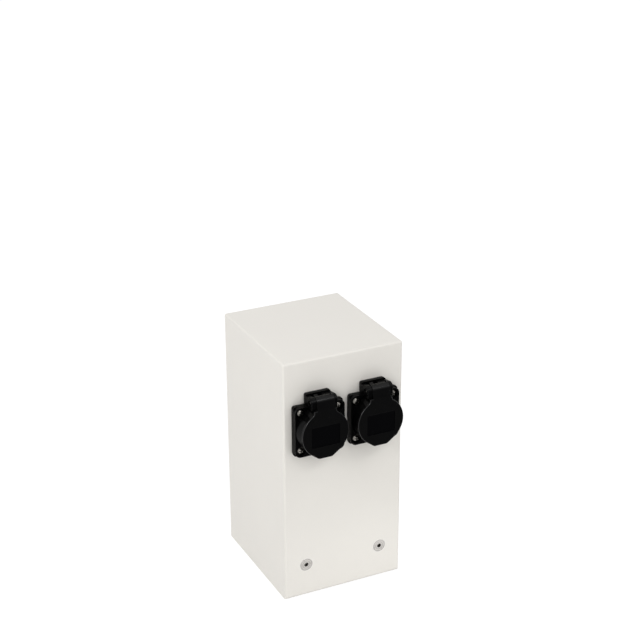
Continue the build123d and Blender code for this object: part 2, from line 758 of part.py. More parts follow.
def make_earth_nuts():
    earth_nut = nut(EARTH_NUT_ACROSS, EARTH_NUT_THICKNESS, EARTH_STUD_RADIUS + THREAD_FIT)
    lifted = Pos(0, 0, LUG_THICKNESS) * earth_nut
    return group([wall_place() * lifted, floor_place() * lifted])


def make_bonding_lead():
    x, y = foot_stud_place()
    low = FOOT_SHEET + lead_height()
    side = HOOD_WIDTH / 2 - HOOD_SHEET - lead_height()
    reach = LUG_RADIUS + LUG_TAIL + FIT
    points = [(x + reach, y, low), (side, y, low), (side, y, HOOD_STUD_HEIGHT - reach)]
    return tube_along("bonding lead", points, LEAD_RADIUS)


# Sockets, each drawn as seen from the front: X across, Y up, Z outwards

def flange_outline(inset):
    """The flange's square with the plate behind the hinge."""
    square = RectangleRounded(FLANGE_SIDE - inset * 2, FLANGE_SIDE - inset * 2, FLANGE_BASE_CORNER)
    plate = RectangleRounded(EAR_OUTER * 2 - inset * 2, EAR_TOP - inset, HINGE_PLATE_CORNER)
    return square + Pos(0, (EAR_TOP - inset) / 2) * plate


def make_gasket():
    gasket = slab(flange_outline(SOFT_GAP), SOFT_GAP, SOFT_GAP + GASKET_THICKNESS)
    gasket = gasket - post(TUBE_OUTER + SOFT_GAP, 0, FLANGE_BACK)
    for x, y in corners(FLANGE_SCREW_SPACING, FLANGE_SCREW_SPACING):
        gasket = gasket - post(MOUNT_SCREW_RADIUS + SOFT_GAP, 0, FLANGE_BACK, x, y)
    return gasket


def ear_profile():
    """The side view of a hinge ear, as (outwards, up): round at the pin, with a straight front below it."""
    high = EAR_TOP - EAR_ROOT_DROP
    root = Pos((FLANGE_BACK + BASE_FACE) / 2, (EAR_LOW + high) / 2) * Rectangle(FLANGE_BASE, high - EAR_LOW)
    end = Pos(HINGE_OUT, HINGE_UP) * Circle(EAR_RADIUS)
    toe_out = HINGE_OUT + EAR_RADIUS - EAR_TOE_RADIUS
    toe = Pos(toe_out, EAR_LOW + EAR_TOE_RADIUS) * Circle(EAR_TOE_RADIUS)
    return make_hull(root.edges() + end.edges() + toe.edges())


def make_ear(width):
    """A hinge ear of this width on the right, with its ring and the recess round the pin."""
    proud = EAR_OUTER + EAR_RING_RISE
    ear = side_slab(ear_profile(), EAR_OUTER - width, EAR_OUTER)
    collar = bar_x(EAR_RING_OUTER, EAR_OUTER, proud, HINGE_UP, HINGE_OUT)
    ear = ear + fillet(collar.faces().sort_by(Axis.X)[-1].edges(), EAR_RING_ROUND)
    ear = ear - bar_x(EAR_RING_INNER, EAR_OUTER - EAR_RECESS, proud + OVERRUN, HINGE_UP, HINGE_OUT)
    return ear - bar_x(PIN_RADIUS + THREAD_FIT, 0, proud, HINGE_UP, HINGE_OUT)


def make_roof():
    """The cover over the spring, between the right ear and the open window."""
    high = EAR_TOP - ROOF_DROP
    right = EAR_OUTER - EAR_RIGHT_WIDTH
    left = right - ROOF_WIDTH
    roof = block(left, right + ROOF_LAP, high - ROOF_THICKNESS, high, BASE_FACE, HINGE_OUT)
    return roof - bar_x(KNUCKLE_RADIUS + KNUCKLE_GAP, left - OVERRUN, EAR_OUTER, HINGE_UP, HINGE_OUT)


def coil_right():
    """Where the spring starts, at its fixed leg."""
    return POCKET_RIGHT - COIL_WIRE - SOFT_GAP


def make_spring_ledge():
    """What the spring's fixed leg presses on."""
    top = HINGE_UP - COIL_RADIUS - COIL_WIRE - FIT
    x = coil_right()
    return block(x - LEDGE_WIDTH / 2, x + LEDGE_WIDTH / 2, top - LEDGE_THICKNESS, top,
                 BASE_FACE, BASE_FACE + LEDGE_REACH)


def make_guide_ribs():
    """The two ribs in the well that turn a plug the right way up."""
    inner = WELL_RADIUS - GUIDE_RIB_RISE
    rib = block(inner, WELL_RADIUS + WELL_LEDGE, -GUIDE_RIB_WIDTH / 2, GUIDE_RIB_WIDTH / 2,
                WELL_FLOOR, WELL_FLOOR + GUIDE_RIB_LENGTH)
    return [rib, mirror(rib, Plane.YZ)]


def make_socket_body():
    body = slab(flange_outline(0), FLANGE_BACK, BASE_FACE)
    face_outline = RectangleRounded(FLANGE_SIDE, FLANGE_SIDE, FLANGE_FACE_CORNER)
    body = body + slab(face_outline, BASE_FACE, FLANGE_FACE)
    body = body + frustum(HUB_ROOT_RADIUS, HUB_RIM_RADIUS, FLANGE_FACE, RIM_FACE)
    body = body + post(TUBE_OUTER, -TUBE_BACKSET, FLANGE_BACK)
    body = body - post(WELL_RADIUS, WELL_FLOOR - FIT, RIM_FACE + OVERRUN)
    body = body - post(TUBE_INNER, -TUBE_BACKSET - OVERRUN, WELL_FLOOR)
    for x, y in corners(FLANGE_SCREW_SPACING, FLANGE_SCREW_SPACING):
        body = body - post(MOUNT_POCKET_RADIUS, SCREW_SEAT, RIM_FACE + OVERRUN, x, y)
        body = body - post(MOUNT_SCREW_RADIUS + HOLE_GAP, 0, SCREW_SEAT + OVERRUN, x, y)
    ears = [mirror(make_ear(EAR_LEFT_WIDTH), Plane.YZ), make_ear(EAR_RIGHT_WIDTH)]
    return joined([body] + ears + [make_roof(), make_spring_ledge()] + make_guide_ribs())


def make_contact_insert():
    insert = post(TUBE_INNER - FIT, DISC_BACK, WELL_FLOOR) + post(CORE_RADIUS, CORE_BACK, DISC_BACK)
    cavity = SLEEVE_BORE_RADIUS + SLEEVE_WALL + SLEEVE_CLEARANCE
    for side in (-1, 1):
        x = side * PIN_SPACING / 2
        insert = insert - post(PIN_HOLE_RADIUS, DISC_BACK - OVERRUN, WELL_FLOOR + OVERRUN, x)
        insert = insert - post(cavity, CORE_BACK - OVERRUN, DISC_BACK, x)
        half = EARTH_STRIP / 2 + HOLE_GAP
        wide = EARTH_STRIP_WIDTH / 2 + HOLE_GAP
        y = side * EARTH_ARM_OFFSET
        insert = insert - block(-wide, wide, y - half, y + half, DISC_BACK - OVERRUN, WELL_FLOOR + OVERRUN)
    return insert


def make_clamp(front):
    """A terminal clamp whose front end is at this level, with its wire and screw holes."""
    back = front - CLAMP_LENGTH
    clamp = block(-CLAMP_WIDTH / 2, CLAMP_WIDTH / 2, -CLAMP_HEIGHT / 2, CLAMP_HEIGHT / 2, back, front)
    clamp = clamp - post(WIRE_RADIUS + HOLE_GAP, back - OVERRUN, back + WIRE_SEAT + FIT)
    return clamp - clamp_screw_cylinder(front, CLAMP_SCREW_RADIUS + THREAD_FIT, OVERRUN)


def clamp_screw_cylinder(front, radius, above):
    """The clamp screw's room, upright, as much above the clamp as this."""
    low = CLAMP_HEIGHT / 2 - CLAMP_SCREW_LENGTH
    high = CLAMP_HEIGHT / 2 + above
    z = front - CLAMP_LENGTH + CLAMP_SCREW_INSET
    return Pos(0, (low + high) / 2, z) * Rot(90, 0, 0) * Cylinder(radius, high - low)


def make_pole_contact(side):
    """The live or neutral contact: a slit sleeve with its clamp."""
    outer = SLEEVE_BORE_RADIUS + SLEEVE_WALL
    sleeve = post(outer, CORE_BACK, DISC_BACK - SLEEVE_CLEARANCE)
    contact = sleeve + make_clamp(CORE_BACK)
    contact = contact - post(SLEEVE_BORE_RADIUS, WELL_FLOOR - PIN_REACH, WELL_FLOOR)
    slit = block(-SLEEVE_SLIT / 2, SLEEVE_SLIT / 2, 0, outer + OVERRUN, CORE_BACK + OVERRUN, WELL_FLOOR)
    return Pos(side * PIN_SPACING / 2, 0, 0) * (contact - slit)


def make_earth_clip():
    """The earth strip: two sprung arms in the well, joined behind the insert, with its clamp."""
    back = CORE_BACK - EARTH_STRIP / 2 - FIT
    foot = WELL_FLOOR + EARTH_ARM_FOOT
    belly = WELL_FLOOR + EARTH_ARM_BELLY
    bowed = EARTH_ARM_OFFSET - EARTH_ARM_BOW
    tip = EARTH_ARM_OFFSET - EARTH_ARM_BOW / 2
    end = WELL_FLOOR + EARTH_ARM_REACH
    upper = [(end, tip), (belly, bowed), (foot, EARTH_ARM_OFFSET), (back, EARTH_ARM_OFFSET)]
    lower = [(out, -up) for out, up in reversed(upper)]
    centre_line = FilletPolyline(*upper, *lower, radius=EARTH_STRIP_BEND)
    half = EARTH_STRIP_WIDTH / 2
    strip = side_slab(trace(centre_line, line_width=EARTH_STRIP), -half, half)
    clamp = Pos(0, -EARTH_CLAMP_DROP, 0) * make_clamp(back)
    return strip + clamp


def make_clamp_screws():
    shapes = []
    for side in (-1, 0, 1):
        front = CORE_BACK if side else CORE_BACK - EARTH_STRIP / 2 - FIT
        drop = 0 if side else EARTH_CLAMP_DROP
        screw = clamp_screw_cylinder(front, CLAMP_SCREW_RADIUS, 0)
        z = front - CLAMP_LENGTH + CLAMP_SCREW_INSET
        top = CLAMP_HEIGHT / 2
        slot = block(-CLAMP_SCREW_RADIUS, CLAMP_SCREW_RADIUS, top - SLOT_DEPTH, top + OVERRUN,
                     z - SLOT_WIDTH / 2, z + SLOT_WIDTH / 2)
        shapes.append(Pos(side * PIN_SPACING / 2, -drop, 0) * (screw - slot))
    return group(shapes)


def make_rear_cover():
    back = -TUBE_BACKSET - COVER_BACK
    spigot = TUBE_INNER - FIT
    front = -TUBE_BACKSET + COVER_SPIGOT
    cover = post(TUBE_OUTER, back, -TUBE_BACKSET) + post(spigot, -TUBE_BACKSET, front)
    cover = cover - post(spigot - COVER_WALL, back + COVER_WALL, front + OVERRUN)
    for x, y in ((-PIN_SPACING / 2, 0), (PIN_SPACING / 2, 0), (0, -EARTH_CLAMP_DROP)):
        cover = cover - post(WIRE_RADIUS + HOLE_GAP, back - OVERRUN, back + COVER_WALL + OVERRUN, x, y)
    return cover


def mount_screw():
    """A screw with a domed head and a cross recess."""
    top = SCREW_SEAT + MOUNT_HEAD_HEIGHT
    dome = Pos(0, 0, top - MOUNT_HEAD_DOME) * Sphere(MOUNT_HEAD_DOME)
    head = post(MOUNT_HEAD_RADIUS, SCREW_SEAT, top) & dome
    low = -HOOD_SHEET - MOUNT_NUT_THICKNESS - MOUNT_SCREW_TAIL
    screw = head + post(MOUNT_SCREW_RADIUS, low, SCREW_SEAT)
    half = CROSS_SPAN / 2
    bar = block(-half, half, -CROSS_SLOT / 2, CROSS_SLOT / 2, top - CROSS_DEPTH, top + OVERRUN)
    return screw - bar - Rot(0, 0, 90) * bar


def make_mount_screws():
    screw = mount_screw()
    return group([Pos(x, y, 0) * screw for x, y in corners(FLANGE_SCREW_SPACING, FLANGE_SCREW_SPACING)])


def make_mount_nuts():
    low = -HOOD_SHEET - MOUNT_NUT_THICKNESS
    mount_nut = Pos(0, 0, low) * nut(MOUNT_NUT_ACROSS, MOUNT_NUT_THICKNESS, MOUNT_SCREW_RADIUS + THREAD_FIT)
    return group([Pos(x, y, 0) * mount_nut for x, y in corners(FLANGE_SCREW_SPACING, FLANGE_SCREW_SPACING)])


def make_hinge_pin():
    half = EAR_OUTER - EAR_RECESS + PIN_PROUD
    return bar_x(PIN_RADIUS, -half, half, HINGE_UP, HINGE_OUT)


def make_lid_spring():
    """A torsion spring: its fixed leg runs back to the ledge and its other leg up against the knuckle."""
    length = COIL_PITCH * COIL_TURNS
    path = Helix(COIL_PITCH, length, COIL_RADIUS)
    coil = sweep(Plane(origin=path @ 0, z_dir=path % 0) * Circle(COIL_WIRE), path=path)
    fixed_length = HINGE_OUT - BASE_FACE - KNUCKLE_GAP
    fixed_leg = wire_leg(path @ 0, (0, -1, 0), fixed_length)
    lid_leg = wire_leg(path @ 1, (-1, 0, 0), COIL_LEG)
    spring = coil + fixed_leg + lid_leg
    place = Plane(origin=(coil_right(), HINGE_UP, HINGE_OUT), x_dir=(0, -1, 0), z_dir=(-1, 0, 0))
    return place.location * spring


def wire_leg(start, direction, length):
    """A straight end of the spring."""
    circle = Plane(origin=start, z_dir=direction) * Circle(COIL_WIRE)
    return extrude(circle, amount=length)


# Lid

def lid_outline():
    """The lid from the front: a disc with a lip to lift it by, and shoulders under the hinge ears."""
    disc = Circle(LID_RADIUS)
    lip = Pos(0, LIP_HEIGHT / 2 - LIP_DROP) * RectangleRounded(LIP_WIDTH, LIP_HEIGHT, LIP_CORNER)
    disc = make_hull(disc.edges() + lip.edges())
    outline = disc + Pos(0, LID_SHOULDER / 2) * Rectangle(NECK_WIDTH, LID_SHOULDER)
    beside_neck = [v for v in outline.vertices() if abs(abs(v.X) - NECK_WIDTH / 2) < FIT]
    return fillet([v for v in beside_neck if 0 < v.Y < LID_SHOULDER - FIT], NECK_FILLET)


def make_lid_neck():
    """The neck from the lid's shoulders up to the knuckle, which lies further back."""
    middle = (LID_BACK + LID_FRONT) / 2
    lap = Pos(middle, LID_SHOULDER - NECK_LAP / 2) * Rectangle(LID_THICKNESS, NECK_LAP)
    knuckle = Pos(HINGE_OUT, HINGE_UP) * Circle(KNUCKLE_RADIUS)
    profile = make_hull(lap.edges() + knuckle.edges())
    return side_slab(profile, KNUCKLE_LEFT, KNUCKLE_RIGHT)


def make_stop_nose():
    """The nose that ends the opening, drawn where it rests on the hub and turned back to the closed lid."""
    left = KNUCKLE_LEFT + NOSE_INSET
    resting = block(left, left + NOSE_WIDTH, HUB_ROOT_RADIUS + FIT, HINGE_UP - NOSE_ROOT,
                    HINGE_OUT - NOSE_TAIL, HINGE_OUT + NOSE_LEAD)
    return turned_about_hinge(resting, -LID_OPEN_ANGLE)


def make_spring_room():
    """The knuckle's pocket for the coil, open below, and the slit that its fixed leg moves through."""
    pocket = bar_x(POCKET_RADIUS, POCKET_LEFT, POCKET_RIGHT, HINGE_UP, HINGE_OUT)
    reach = KNUCKLE_RADIUS + OVERRUN
    back = HINGE_OUT - reach
    mouth = block(POCKET_LEFT, POCKET_RIGHT, HINGE_UP - reach, HINGE_UP, back, HINGE_OUT)
    slit = block(coil_right() - COIL_WIRE - SOFT_GAP, POCKET_RIGHT, HINGE_UP - reach, HINGE_UP + reach,
                 back, HINGE_OUT + POCKET_LEAD)
    return pocket + mouth + slit


def seal_radius():
    """The middle of the seal, over the rim."""
    return (WELL_RADIUS + HUB_RIM_RADIUS) / 2


def ring(middle, width, z0, z1):
    """A flat ring round the origin."""
    return post(middle + width / 2, z0, z1) - post(middle - width / 2, z0 - OVERRUN, z1 + OVERRUN)


def make_lid():
    lid = slab(lid_outline(), LID_BACK, LID_FRONT)
    lid = fillet(lid.faces().sort_by(Axis.Z)[-1].edges(), LID_EDGE)
    window = Pos(0, -WINDOW_DROP) * RectangleRounded(WINDOW_WIDTH, WINDOW_HEIGHT, WINDOW_CORNER)
    lid = lid - slab(window, LID_FRONT - WINDOW_DEPTH, LID_FRONT + OVERRUN)
    groove_depth = RIM_FACE + SOFT_GAP + SEAL_THICKNESS + SOFT_GAP
    lid = lid - ring(seal_radius(), SEAL_WIDTH + SOFT_GAP * 2, LID_BACK - OVERRUN, groove_depth)
    lid = lid + make_lid_neck() + make_stop_nose() - make_spring_room()
    return lid - bar_x(PIN_RADIUS + FIT, -EAR_OUTER, EAR_OUTER, HINGE_UP, HINGE_OUT)


def make_lid_seal():
    return ring(seal_radius(), SEAL_WIDTH, RIM_FACE + SOFT_GAP, RIM_FACE + SOFT_GAP + SEAL_THICKNESS)


# Assembly

def socket_pieces():
    """The pieces of one socket, in its own view."""
    return {
        "socket_gasket": make_gasket(),
        "socket_body": make_socket_body(),
        "contact_insert": make_contact_insert(),
        "live_contact": make_pole_contact(-1),
        "neutral_contact": make_pole_contact(1),
        "earth_clip": make_earth_clip(),
        "clamp_screws": make_clamp_screws(),
        "rear_cover": make_rear_cover(),
        "socket_screws": make_mount_screws(),
        "socket_nuts": make_mount_nuts(),
        "hinge_pin": make_hinge_pin(),
        "lid_spring": make_lid_spring(),
        "lid": make_lid(),
        "lid_seal": make_lid_seal(),
    }


def post_pieces():
    """The pieces of the post itself."""
    return {
        "hood": make_hood(),
        "foot_bracket": make_foot_bracket(),
        "foot_screws": make_foot_screws(),
        "foot_weld_nuts": make_weld_nuts(),
        "cable_bush": make_cable_bush(),
        "carrier_plate": make_carrier_plate(),
        "carrier_studs": make_carrier_studs(),
        "carrier_nuts": make_carrier_nuts(),
        "mounting_rail": make_rail(),
        "rail_screws": make_rail_screws(),
        "rail_nuts": make_rail_nuts(),
        "live_terminal": make_terminal(-1),
        "earth_terminal": make_terminal(0),
        "neutral_terminal": make_terminal(1),
        "terminal_screws": make_terminal_screws(),
        "rail_end_stops": make_end_stops(),
        "live_wires": make_wires("live wires", -1),
        "earth_wires": make_wires("earth wires", 0),
        "neutral_wires": make_wires("neutral wires", 1),
        "earth_studs": make_earth_studs(),
        "earth_nuts": make_earth_nuts(),
        "bonding_lugs": make_bonding_lugs(),
        "bonding_lead": make_bonding_lead(),
    }


def main():
    os.makedirs("parts", exist_ok=True)
    for name, shape in post_pieces().items():
        export_step(shape, f"parts/{name}.step")
    for name, shape in socket_pieces().items():
        for word, side in (("left", -1), ("right", 1)):
            export_step(on_front(shape, side), f"parts/{word}_{name}.step")


main()
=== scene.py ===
import bpy
import math
from mathutils import Matrix, Vector


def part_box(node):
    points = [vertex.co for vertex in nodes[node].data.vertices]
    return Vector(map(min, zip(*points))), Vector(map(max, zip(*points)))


# A garden socket post: a powder-coated sheet-metal hood with two black lidded sockets in its front.
# Metres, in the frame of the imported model: X to the right, the front faces -Y, Z up.

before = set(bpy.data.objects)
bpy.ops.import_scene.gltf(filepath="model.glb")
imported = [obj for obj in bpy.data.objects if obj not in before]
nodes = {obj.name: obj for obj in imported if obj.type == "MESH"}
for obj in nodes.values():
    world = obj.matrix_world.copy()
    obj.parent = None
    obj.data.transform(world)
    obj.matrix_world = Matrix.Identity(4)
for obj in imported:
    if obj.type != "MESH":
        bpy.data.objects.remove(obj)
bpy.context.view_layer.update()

MM = 0.001
SIDES = ("left", "right")
WHITE = (1.0, 1.0, 1.0, 1.0)

# Camera, as the photograph was taken: its place, the way it looks in degrees, and its lens in millimetres
CAMERA_PLACE = (-0.5781, -1.2064, 0.8209)
CAMERA_AZIMUTH = -25.945
CAMERA_ELEVATION = 23.008
CAMERA_ROLL = -0.199
CAMERA_LENS = 87.08
CAMERA_SENSOR = 36.0

# Studio
FLOOR_HALF_SIDE = 9.0
FLOOR_COLOUR = (0.76, 0.76, 0.755, 1.0)
FLOOR_SEEN_COLOUR = (0.34, 0.34, 0.34, 1.0)
FLOOR_SEEN_LIFT = 0.78
WORLD_FILL = 0.76
POST_MIDDLE = (0.0, -0.06, 0.14)
FOOT_FRONT = (0.0, -0.067, 0.015)
SOFTBOXES = (
    dict(name="overhead_softbox", at=(0.15, -1.1, 1.2), aim=POST_MIDDLE, width=0.9, height=0.16, power=3.0),
    dict(name="left_softbox", at=(-1.2, -0.6, 0.96), aim=POST_MIDDLE, width=0.3, height=0.5, power=5.6),
    dict(name="low_softbox", at=(0.02, -0.16, 0.01), aim=FOOT_FRONT, width=0.24, height=0.015, power=0.018),
)

# Turned screw heads: their radii, and how many rings make one lighter and darker band; the darker rings are
# partly turning marks and partly painted shade, one of them lying near each head's rim
FOOT_HEAD_RADIUS = 6.5 * MM
MOUNT_HEAD_RADIUS = 4.0 * MM
RINGS_IN_A_BAND = 4.0

# The bare window sunk into each lid's front: its size with a hair of margin, how far its middle lies
# below the socket's, and how far behind the lid's front it still counts
WINDOW_WIDTH = 29.2 * MM
WINDOW_HEIGHT = 20.8 * MM
WINDOW_DROP = 1.8 * MM
WINDOW_REACH = 0.8 * MM

# Unit of the wave in the earth insulation: its stripes repeat every 0.63 units, which is about 2.1 mm
STRIPE_UNIT = 3.4 * MM

# Sockets of the Mix node, when it mixes colours and when it mixes plain values
MIX_FACTOR, MIX_A, MIX_B, MIX_RESULT = 0, 6, 7, 2
VALUE_FACTOR, VALUE_A, VALUE_B, VALUE_RESULT = 0, 2, 3, 0


# Shader building

def fill(tree, node, sockets):
    """A value or a link for each named socket of a node."""
    for socket, value in sockets.items():
        if isinstance(value, bpy.types.NodeSocket):
            tree.links.new(value, node.inputs[socket])
        else:
            node.inputs[socket].default_value = value


def place(tree, kind, sockets=None, **settings):
    """A new node of this kind, with its settings and its sockets filled."""
    made = tree.nodes.new("ShaderNode" + kind)
    for name, value in settings.items():
        setattr(made, name, value)
    fill(tree, made, sockets or {})
    return made


def maths(tree, operation, a, b=0.0, clamp=False):
    """The result of one Math node."""
    return place(tree, "Math", {0: a, 1: b}, operation=operation, use_clamp=clamp).outputs[0]


def mixed_colour(tree, share, colour_a, colour_b):
    """Two colours mixed by a share."""
    sockets = {MIX_FACTOR: share, MIX_A: colour_a, MIX_B: colour_b}
    return place(tree, "Mix", sockets, data_type="RGBA").outputs[MIX_RESULT]


def mixed_value(tree, share, value_a, value_b):
    """Two plain values mixed by a share."""
    sockets = {VALUE_FACTOR: share, VALUE_A: value_a, VALUE_B: value_b}
    return place(tree, "Mix", sockets).outputs[VALUE_RESULT]


def spread(tree, value, low, high, to_low=0.0, to_high=1.0):
    """A value stretched from one range to another, and held inside it."""
    sockets = {"Value": value, "From Min": low, "From Max": high, "To Min": to_low, "To Max": to_high}
    return place(tree, "MapRange", sockets).outputs[0]


def noise(tree, point, detail, roughness):
    """Cloudy noise, one cloud for each unit of the point."""
    sockets = {"Vector": point, "Scale": 1.0, "Detail": detail, "Roughness": roughness}
    return place(tree, "TexNoise", sockets).outputs[0]


def coordinates(tree, which):
    """X, Y and Z of the point on the piece (Object) or of the way its surface faces (Normal)."""
    return place(tree, "SeparateXYZ", {0: place(tree, "TexCoord").outputs[which]}).outputs


def sized_point(tree, size):
    """The point on the piece, in units of a size in metres."""
    point = place(tree, "TexCoord").outputs["Object"]
    per_metre = maths(tree, "DIVIDE", 1.0, size)
    return place(tree, "VectorMath", {0: point, "Scale": per_metre}, operation="SCALE").outputs[0]


def shared_group(name, inputs, outputs):
    """A new node group with its sockets: its tree, what comes in and what goes out."""
    tree = bpy.data.node_groups.new(name, "ShaderNodeTree")
    for label, kind, value in inputs:
        socket = tree.interface.new_socket(label, in_out="INPUT", socket_type="NodeSocket" + kind)
        socket.default_value = value
    for label, kind in outputs:
        tree.interface.new_socket(label, in_out="OUTPUT", socket_type="NodeSocket" + kind)
    return tree, tree.nodes.new("NodeGroupInput").outputs, tree.nodes.new("NodeGroupOutput").inputs


def use(tree, group, sockets):
    """A shared group placed in a material with its own values."""
    made = tree.nodes.new("ShaderNodeGroup")
    made.node_tree = group
    fill(tree, made, sockets)
    return made.outputs


# Effects that several finishes share

def make_tone_drift():
    """A colour that drifts a little lighter and darker in patches, as batches and ageing leave it."""
    tree, given, out = shared_group(
        "tone_drift",
        [("Colour", "Color", WHITE), ("Drift", "Float", 0.05), ("Patch Size", "Float", 30.0 * MM)],
        [("Colour", "Color"), ("Shift", "Float")])
    cloud = noise(tree, sized_point(tree, given["Patch Size"]), detail=4.0, roughness=0.6)
    shift = spread(tree, cloud, 0.3, 0.7, -1.0, 1.0)
    gain = place(tree, "Math", {0: shift, 1: given["Drift"], 2: 1.0}, operation="MULTIPLY_ADD").outputs[0]
    colour = place(tree, "VectorMath", {0: given["Colour"], "Scale": gain}, operation="SCALE").outputs[0]
    tree.links.new(colour, out["Colour"])
    tree.links.new(shift, out["Shift"])
    return tree


def make_fine_grain():
    """The small relief of a moulded, sprayed or rolled surface, from two sizes of noise."""
    tree, given, out = shared_group(
        "fine_grain",
        [("Grain Size", "Float", 0.4 * MM), ("Wave Size", "Float", 3.0 * MM), ("Wave Share", "Float", 0.5)],
        [("Height", "Float")])
    grain = noise(tree, sized_point(tree, given["Grain Size"]), detail=2.0, roughness=0.55)
    wave = noise(tree, sized_point(tree, given["Wave Size"]), detail=1.0, roughness=0.4)
    tree.links.new(mixed_value(tree, given["Wave Share"], grain, wave), out["Height"])
    return tree


def make_edge_wear_and_highlight():
    """The corners of a shape, broken up by noise: where edges have rubbed, and all along them when the Bare
    Share is 1, as the powder coat's painted highlight.
    """
    tree, given, out = shared_group(
        "edge_wear_and_highlight",
        [("Width", "Float", 0.8 * MM), ("Patch Size", "Float", 6.0 * MM), ("Bare Share", "Float", 0.5)],
        [("Mask", "Float")])
    rounded = place(tree, "Bevel", {"Radius": given["Width"]}, samples=6).outputs[0]
    actual = place(tree, "NewGeometry").outputs["Normal"]
    facing = place(tree, "VectorMath", {0: rounded, 1: actual}, operation="DOT_PRODUCT").outputs["Value"]
    # The two normals agree on a flat and part at an edge
    edge = spread(tree, facing, 0.995, 0.86)
    patch = noise(tree, sized_point(tree, given["Patch Size"]), detail=5.0, roughness=0.7)
    kept = maths(tree, "SUBTRACT", 1.0, given["Bare Share"])
    broken = maths(tree, "SUBTRACT", patch, maths(tree, "MULTIPLY", kept, 0.8))
    ragged = spread(tree, broken, 0.0, 0.15)
    tree.links.new(maths(tree, "MULTIPLY", edge, ragged), out["Mask"])
    return tree


def make_corner_painted_shade():
    """Painted shade: narrow corners, slots and recesses darkened, broken up by noise."""
    tree, given, out = shared_group(
        "corner_painted_shade",
        [("Reach", "Float", 2.0 * MM), ("Patch Size", "Float", 3.0 * MM)],
        [("Mask", "Float")])
    openness = place(tree, "AmbientOcclusion", {"Distance": given["Reach"]}, samples=8).outputs["AO"]
    patch = noise(tree, sized_point(tree, given["Patch Size"]), detail=4.0, roughness=0.6)
    # Openness is 1 on a flat and falls in a corner; the noise keeps the painted shade out of some corners
    reached = maths(tree, "ADD", openness, maths(tree, "MULTIPLY", patch, 0.25))
    tree.links.new(spread(tree, reached, 1.0, 0.55), out["Mask"])
    return tree


def make_settled_dust():
    """Pale dust on what faces up, thicker in patches."""
    tree, given, out = shared_group(
        "settled_dust",
        [("Amount", "Float", 0.2), ("Patch Size", "Float", 20.0 * MM)],
        [("Mask", "Float")])
    facing_up = spread(tree, coordinates(tree, "Normal")["Z"], 0.2, 1.0)
    patch = noise(tree, sized_point(tree, given["Patch Size"]), detail=6.0, roughness=0.65)
    thick = maths(tree, "MULTIPLY", facing_up, spread(tree, patch, 0.3, 0.75))
    tree.links.new(maths(tree, "MULTIPLY", thick, given["Amount"], clamp=True), out["Mask"])
    return tree


def make_drawn_lines():
    """The fine straight lines that rolling and drawing leave in metal."""
    tree, given, out = shared_group(
        "drawn_lines",
        [("Line Size", "Float", 0.3 * MM), ("Stretch", "Vector", (1.0, 1.0, 1.0))],
        [("Height", "Float")])
    point = sized_point(tree, given["Line Size"])
    stretched = place(tree, "VectorMath", {0: point, 1: given["Stretch"]}, operation="MULTIPLY").outputs[0]
    tree.links.new(noise(tree, stretched, detail=3.0, roughness=0.6), out["Height"])
    return tree


def make_turned_rings_and_shade():
    """The rings that turning leaves round each of several like heads, which mirror each other, and broader
    darker bands, partly painted shade, one of which lies near each head's rim.

    Mirror X and Mirror Z are where the mirrors lie, Centre X and Centre Z how far a head is from them.
    Left and right of the post are mirrored first.
    """
    tree, given, out = shared_group(
        "turned_rings_and_shade",
        [("Mirror X", "Float", 0.0), ("Centre X", "Float", 0.0), ("Mirror Z", "Float", 0.0),
         ("Centre Z", "Float", 0.0), ("Pitch", "Float", 0.5 * MM)],
        [("Height", "Float"), ("Band And Painted Shade", "Float")])
    at = coordinates(tree, "Object")
    from_mirror_x = maths(tree, "SUBTRACT", maths(tree, "ABSOLUTE", at["X"]), given["Mirror X"])
    from_mirror_z = maths(tree, "SUBTRACT", at["Z"], given["Mirror Z"])
    across = maths(tree, "SUBTRACT", maths(tree, "ABSOLUTE", from_mirror_x), given["Centre X"])
    upwards = maths(tree, "SUBTRACT", maths(tree, "ABSOLUTE", from_mirror_z), given["Centre Z"])
    squares = maths(tree, "ADD", maths(tree, "POWER", across, 2.0), maths(tree, "POWER", upwards, 2.0))
    rings = maths(tree, "DIVIDE", maths(tree, "SQRT", squares), given["Pitch"])
    fine = maths(tree, "SINE", maths(tree, "MULTIPLY", rings, math.tau))
    broad = maths(tree, "COSINE", maths(tree, "MULTIPLY", rings, math.tau / RINGS_IN_A_BAND))
    tree.links.new(spread(tree, fine, -1.0, 1.0), out["Height"])
    # Darker bands, partly painted shade, one of them near each head's rim
    tree.links.new(spread(tree, broad, -0.4, 0.7), out["Band And Painted Shade"])
    return tree


TONE_DRIFT = make_tone_drift()
FINE_GRAIN = make_fine_grain()
EDGE_WEAR_AND_HIGHLIGHT = make_edge_wear_and_highlight()
CORNER_PAINTED_SHADE = make_corner_painted_shade()
SETTLED_DUST = make_settled_dust()
DRAWN_LINES = make_drawn_lines()
TURNED_RINGS_AND_SHADE = make_turned_rings_and_shade()


